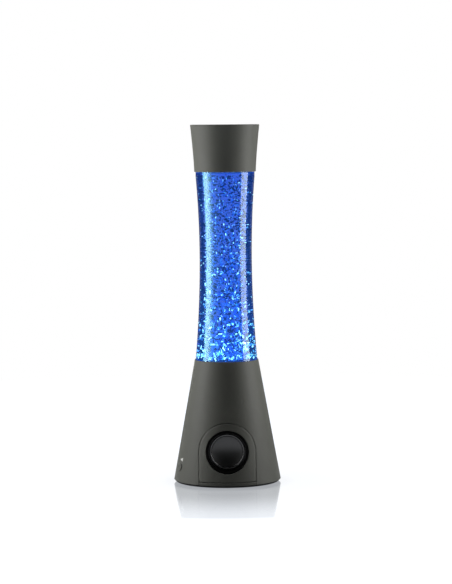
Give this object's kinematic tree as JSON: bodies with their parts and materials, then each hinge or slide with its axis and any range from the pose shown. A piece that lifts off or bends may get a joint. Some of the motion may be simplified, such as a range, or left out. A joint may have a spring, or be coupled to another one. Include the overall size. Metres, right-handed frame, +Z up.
{
  "type": "liquid motion lamp",
  "caption": "Table lamp with an hourglass vessel of blue glitter liquid between a conical base with a front speaker and a flared cap.",
  "frame": {"origin": "centre of the foot circle, on the surface that the lamp stands on", "axes": "+Z up along the lamp's axis, -Y out of the speaker, +X to the viewer's right when facing the speaker"},
  "size_m": [0.1108, 0.1108, 0.37],
  "materials": {
    "housing": "matte, fine grain",
    "bezel_black": "matte",
    "roll_rubber": "satin",
    "dish_black": "polished",
    "cover_black": "matte",
    "glass": "clear, polished",
    "liquid": "clear blue liquid with glitter",
    "soft_rubber": "matte",
    "closure_white": "matte",
    "holder_ceramic": "matte",
    "bulb_glass": "frosted, silvered inside",
    "brass": "bright",
    "steel": "zinc plated",
    "aluminium": "bright",
    "ferrite": "matte",
    "coil_paper": "varnished",
    "board": "lacquered",
    "chip": "matte",
    "wire": "satin"
  },
  "bodies": {
    "base": {"base_shell": "housing", "front_panel": "housing", "speaker_bezel": "bezel_black", "speaker_basket": "bezel_black", "speaker_surround": "roll_rubber", "bottom_cover": "cover_black", "vessel_seat_ring": "soft_rubber", "foot_1": "soft_rubber", "foot_2": "soft_rubber", "foot_3": "soft_rubber", "foot_4": "soft_rubber", "lamp_holder": "holder_ceramic", "bulb_envelope": "bulb_glass", "bulb_base": "brass", "holder_bracket": "steel", "bracket_screw_1": "steel", "bracket_screw_2": "steel", "cover_screw_1": "steel", "cover_screw_2": "steel", "cover_screw_3": "steel", "cover_screw_4": "steel", "reflector_screw_1": "steel", "reflector_screw_2": "steel", "reflector_screw_3": "steel", "board_screw_1": "steel", "board_screw_2": "steel", "speaker_screw_1": "steel", "speaker_screw_2": "steel", "speaker_screw_3": "steel", "speaker_top_plate": "steel", "speaker_yoke": "steel", "inlet_pin": "steel", "inlet_nut": "steel", "reflector_cone": "aluminium", "capacitor_1": "aluminium", "capacitor_2": "aluminium", "speaker_magnet": "ferrite", "speaker_spider": "coil_paper", "circuit_board": "board", "button_board": "board", "amplifier_chip": "chip", "push_switch": "chip", "dc_inlet": "chip", "speaker_lead": "wire", "lamp_lead": "wire", "inlet_lead": "wire", "button_lead": "wire"},
    "vessel": {"glass_vessel": "glass", "liquid": "liquid", "vessel_stopper": "soft_rubber", "vessel_closure": "closure_white"},
    "cap": {"cap_shell": "housing", "cap_ring": "soft_rubber"},
    "power_button": {"power_button": "housing", "switch_plunger": "chip"},
    "speaker_cone": {"speaker_dish": "dish_black", "voice_coil": "coil_paper"}
  },
  "joints": [
    {"name": "vessel_lift", "type": "slide", "parent": "base", "child": "vessel", "axis": [0, 0, 1], "range_m": [0, 0.05]},
    {"name": "cap_lift", "type": "slide", "parent": "vessel", "child": "cap", "axis": [0, 0, 1], "range_m": [0, 0.06]},
    {"name": "power_button_press", "type": "slide", "parent": "base", "child": "power_button", "axis": [0.9092, 0.3766, -0.1777], "range_m": [0, 0.0012], "stiffness_N_per_m": 500},
    {"name": "speaker_cone_travel", "type": "slide", "parent": "base", "child": "speaker_cone", "axis": [0, -1, 0], "range_m": [-0.0012, 0.0012], "stiffness_N_per_m": 900}
  ]
}
